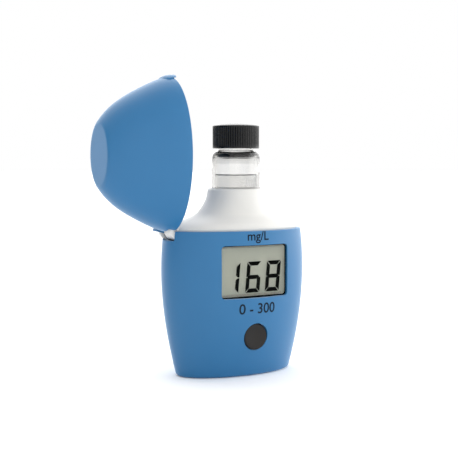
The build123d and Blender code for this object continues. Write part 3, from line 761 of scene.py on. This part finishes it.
def makeSample():
    # The meniscus climbs the glass: the level rises in its last millimetre
    low, high = nodeBox("sample_liquid")
    r = vial["radius"] - vial["wall"] - sample["gap"]
    level = high[2] - sample["climb"]
    corners = [(0, low[2] + 0.45, 0), (r, low[2], 1.5), (r, level + sample["climb"], 0),
               (r - 0.25, level + 0.15, 0.2), (r - 1.0, level, 0.6), (0, level - 0.05, 0)]
    piece = turnedPiece("sampleWaterColumn", corners, vial["x"], sampleWater, sample["steps"])
    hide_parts("sample_liquid")
    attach(piece, "vial")


def makeCap():
    s = cap
    low, high = nodeBox("vial_cap")
    r, dome = s["radius"], s["dome"]
    z0, z1 = low[2], high[2]
    levels = np.linspace(z0 + s["ribStart"], z1 - s["ribEnd"], 12)
    corners = [(s["bore"], z0 + s["boreDepth"], 0), (s["bore"], z0, 0.3), (r, z0, 0.35)]
    corners += [(r, z, 0) for z in levels]
    corners += [(r, z1 - dome, 0.22), (r * 0.75, z1 - dome * 0.42, 0.8),
                (r * 0.4, z1 - dome * 0.1, 0.8), (0, z1, 0)]

    def ribbed(radius, z, angle):
        # Between the plain bands the radius dips: r - d (1 - |cos(n a / 2)|^0.7)
        dip = s["ribDepth"] * (1 - np.abs(np.cos(s["ribs"] * angle / 2)) ** 0.7)
        fade = (np.clip((z - levels[0]) / s["fadeIn"], 0, 1)
                * np.clip((levels[-1] - z) / s["fadeOut"], 0, 1))
        return radius - dip * fade * (radius > r - 0.3)

    steps = s["ribs"] * s["stepsPerRib"]
    piece = turnedPiece("vialCap", corners, vial["x"], blackPp, steps, ribbed)
    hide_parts("vial_cap")
    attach(piece, "vial_cap")


# Display: dark segments on the panel's front, leaning a little, behind the clear window
display = dict(digits="168", height=11.9, width=6.4, stroke=1.55, lean=0.09, gap=0.16,
               starts=[-13.2, -3.7, 5.2], baseZ=32.7, lift=0.03, sink=0.2, paintedShadeWidth=0.35,
               paintedShadeRound=1.1, panelRound=0.3, paintedShadeLift=0.04, paintedShadeSink=0.02)
segmentsOf = {"1": "bc", "6": "acdefg", "8": "abcdefg"}


def segmentOutline(kind):
    # One bar with pointed ends, in millimetres from the digit's lower left corner
    w, h, t, g = display["width"], display["height"], display["stroke"], display["gap"]
    half = h / 2
    flat = {"a": h, "g": half, "d": 0.0}
    if kind in flat:
        z = flat[kind]
        low, high = {"a": (z - t, z), "g": (z - t / 2, z + t / 2), "d": (z, z + t)}[kind]
        if kind == "g":
            tip, slant = g + t * 0.25, t * 0.85
            return [(tip, z), (slant, high), (w - slant, high), (w - tip, z), (w - slant, low),
                    (slant, low)]
        long, short = (high, low) if kind == "a" else (low, high)
        return [(g * 1.5, long), (w - g * 1.5, long), (w - t - g * 0.4, short),
                (t + g * 0.4, short)]
    side = 0.0 if kind in "ef" else w
    inward = 1 if kind in "ef" else -1
    z0, z1 = (g * 1.5, half - g) if kind in "ec" else (half + g, h - g * 1.5)
    farZ, nearZ = (z0, z1) if kind in "ec" else (z1, z0)
    step = 1 if kind in "ec" else -1
    return [(side, farZ), (side, nearZ), (side + inward * t * 0.5, nearZ),
            (side + inward * t, nearZ - step * t * 0.5), (side + inward * t, farZ + step * t)]


def makeDigits():
    face = nodeBox("lcd_panel")[0][1]
    bars = []
    for start, digit in zip(display["starts"], display["digits"]):
        for kind in segmentsOf[digit]:
            outline = np.array(segmentOutline(kind), float)
            outline[:, 0] += start + display["lean"] * outline[:, 1]
            outline[:, 1] += display["baseZ"]
            bars.append(makePrism("bar", outline, face - display["lift"], face + display["sink"],
                                  "y", segmentBlack))
    piece = joinPieces(bars, "displayDigits")
    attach(piece, "housing")


def joinPieces(pieces, name):
    # Several meshes in one object
    work = bmesh.new()
    for piece in pieces:
        work.from_mesh(piece.data)
    mesh = bpy.data.meshes.new(name)
    work.to_mesh(mesh)
    work.free()
    mesh.materials.append(pieces[0].data.materials[0])
    for piece in pieces:
        bpy.data.objects.remove(piece)
    joined = bpy.data.objects.new(name, mesh)
    scene.collection.objects.link(joined)
    return joined


# Printing: a range and a unit, pad printed on the curved front
printing = dict(range="0 - 300", rangeZ=26.7, rangeSize=5.6, unit="mg/L", unitZ=54.5,
                unitSize=4.9, weight=0.06, lift=0.05, curveSteps=6, cuts=2)


def refineMesh(mesh, cuts):
    # Smaller triangles, so that flat lettering can follow a curved face
    work = bmesh.new()
    work.from_mesh(mesh)
    bmesh.ops.triangulate(work, faces=work.faces)
    bmesh.ops.subdivide_edges(work, edges=work.edges, cuts=cuts, use_grid_fill=True)
    work.to_mesh(mesh)
    work.free()


def printText(name, words, z, size):
    curve = bpy.data.curves.new(name, "FONT")
    curve.body = words
    curve.size = size
    curve.align_x = "CENTER"
    curve.align_y = "CENTER"
    curve.resolution_u = printing["curveSteps"]
    curve.offset = printing["weight"]
    text = bpy.data.objects.new(name, curve)
    scene.collection.objects.link(text)
    graph = bpy.context.evaluated_depsgraph_get()
    mesh = bpy.data.meshes.new_from_object(text.evaluated_get(graph))
    bpy.data.objects.remove(text)
    refineMesh(mesh, printing["cuts"])
    piece = bpy.data.objects.new(name, mesh)
    scene.collection.objects.link(piece)
    places = np.zeros(len(mesh.vertices) * 3)
    mesh.vertices.foreach_get("co", places)
    x, up, _ = places.reshape(-1, 3).T
    height = z + up
    places = np.stack([x, bodyFrontY(x, height) - printing["lift"], height], -1) * mm
    mesh.vertices.foreach_set("co", places.ravel())
    mesh.materials.clear()
    mesh.materials.append(printInk)
    mesh.update()
    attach(piece, "housing")


def makePaintedShadeRing():
    # Painted shade: a dark ring at the panel's edge, seen as a thin line around it through the
    # window, standing in for the shadow of the window's recessed walls
    s = display
    low, high = nodeBox("display_window")
    panelLow, panelHigh = nodeBox("lcd_panel")
    middle, face = (low[2] + high[2]) / 2, panelLow[1]
    outer = roundedRectangle(0, middle, panelHigh[0] - panelLow[0], panelHigh[2] - panelLow[2],
                             s["panelRound"])
    inner = roundedRectangle(0, middle, high[0] - low[0] - 2 * s["paintedShadeWidth"],
                             high[2] - low[2] - 2 * s["paintedShadeWidth"], s["paintedShadeRound"])
    rings = [prismPoints(ring, face - s["paintedShadeLift"], face + s["paintedShadeSink"], "y")
             for ring in (outer, inner)]
    count = len(outer)
    points = np.vstack([rings[0][:count], rings[1][:count], rings[1][count:], rings[0][count:]])
    faces = gridFaces(4, count, True, True)
    # the ring takes the segments' black as painted shade
    piece = makePiece("displayPaintedShadeRing", points, faces, segmentBlack, False)
    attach(piece, "housing")


makeBodyShells()
makePaintedShadeRing()
makeButton()
makeLid()
makeNeck()
makeVial()
makeSample()
makeCap()
makeDigits()
printText("rangeMark", printing["range"], printing["rangeZ"], printing["rangeSize"])
printText("unitMark", printing["unit"], printing["unitZ"], printing["unitSize"])
print("pieces made")


# Floor: pale in the light that it sends back, and for the camera alone brighter than white, so
# that only the shadow shows
ground = dict(bounce=0.96, seen=1.12, size=30.0, drop=0.05)


def makeFloor():
    material = bpy.data.materials.new("paleFloor")
    material.use_nodes = True
    tree = material.node_tree
    shader = tree.nodes["Principled BSDF"]
    path = addNode(tree, "ShaderNodeLightPath")
    level = addNode(tree, "ShaderNodeMix", {"data_type": "FLOAT"},
                    {0: path.outputs["Is Camera Ray"]})
    level.inputs[2].default_value = ground["bounce"]
    level.inputs[3].default_value = ground["seen"]
    tree.links.new(level.outputs[0], shader.inputs["Base Color"])
    shader.inputs["Roughness"].default_value = 0.9
    shader.inputs["Specular IOR Level"].default_value = 0.0
    size = ground["size"]
    mesh = bpy.data.meshes.new("floor")
    mesh.from_pydata([(-size, -size, 0), (size, -size, 0), (size, size, 0), (-size, size, 0)],
                     [], [(0, 1, 2, 3)])
    mesh.materials.append(material)
    floor = bpy.data.objects.new("floor", mesh)
    scene.collection.objects.link(floor)
    floor.location.z = -ground["drop"] * mm


makeFloor()


# Soft light from all round: a level, and broad patches that add to it or take from it
studio = dict(level=0.8, patches=[
    dict(place=(0.98, -0.22, 0.1), amount=2.3, wide=52, narrow=10),    # soft box at the right
    dict(place=(0.1, 0.85, 0.5), amount=1.3, wide=70, narrow=15),      # behind and above
    dict(place=(-0.6, 0.8, 0.0), amount=-0.8, wide=62, narrow=30),     # dark behind at the left
])
lamp = dict(place=(-0.1, -0.9, 0.25), angle=60, strength=0.25)


def makeWorld(s):
    world = bpy.data.worlds.new("studio")
    world.use_nodes = True
    tree = world.node_tree
    background = tree.nodes["Background"]
    background.inputs["Color"].default_value = linear("#FFFFFF")
    path = addNode(tree, "ShaderNodeLightPath")
    seen = addNode(tree, "ShaderNodeMath", {"operation": "MAXIMUM"},
                   {0: path.outputs["Is Camera Ray"],
                    1: path.outputs["Is Transmission Ray"]}).outputs[0]
    mirrored = addNode(tree, "ShaderNodeMath", {"operation": "MAXIMUM"},
                       {0: seen, 1: path.outputs["Is Glossy Ray"]}).outputs[0]
    level = addNode(tree, "ShaderNodeMix", {"data_type": "FLOAT"}, {0: mirrored})
    level.inputs[2].default_value = s["level"]
    level.inputs[3].default_value = 1.0
    total = level.outputs[0]
    direction = addNode(tree, "ShaderNodeTexCoord").outputs["Generated"]
    for patch in s["patches"]:
        along = addNode(tree, "ShaderNodeVectorMath", {"operation": "DOT_PRODUCT"}, {0: direction})
        along.inputs[1].default_value = Vector(patch["place"]).normalized()
        share = addNode(tree, "ShaderNodeMapRange", {"interpolation_type": "SMOOTHSTEP"},
                        {"Value": along.outputs["Value"]},
                        From_Min=math.cos(math.radians(patch["wide"])),
                        From_Max=math.cos(math.radians(patch["narrow"])),
                        To_Min=0.0, To_Max=patch["amount"])
        total = addNode(tree, "ShaderNodeMath", {"operation": "ADD"},
                        {0: total, 1: share.outputs["Result"]}).outputs[0]
    white = addNode(tree, "ShaderNodeMix", {"data_type": "FLOAT"}, {0: seen, 2: total})
    white.inputs[3].default_value = 1.0
    tree.links.new(white.outputs[0], background.inputs["Strength"])
    scene.world = world


def makeSun(name, place, angle, strength):
    # A far, wide lamp: even over the whole floor, with a soft shadow
    data = bpy.data.lights.new(name, "SUN")
    data.angle = math.radians(angle)
    data.energy = strength
    light = bpy.data.objects.new(name, data)
    scene.collection.objects.link(light)
    light.rotation_euler = Vector(place).to_track_quat("Z", "Y").to_euler()


makeWorld(studio)
makeSun("lampFront", **lamp)
print("lights made")
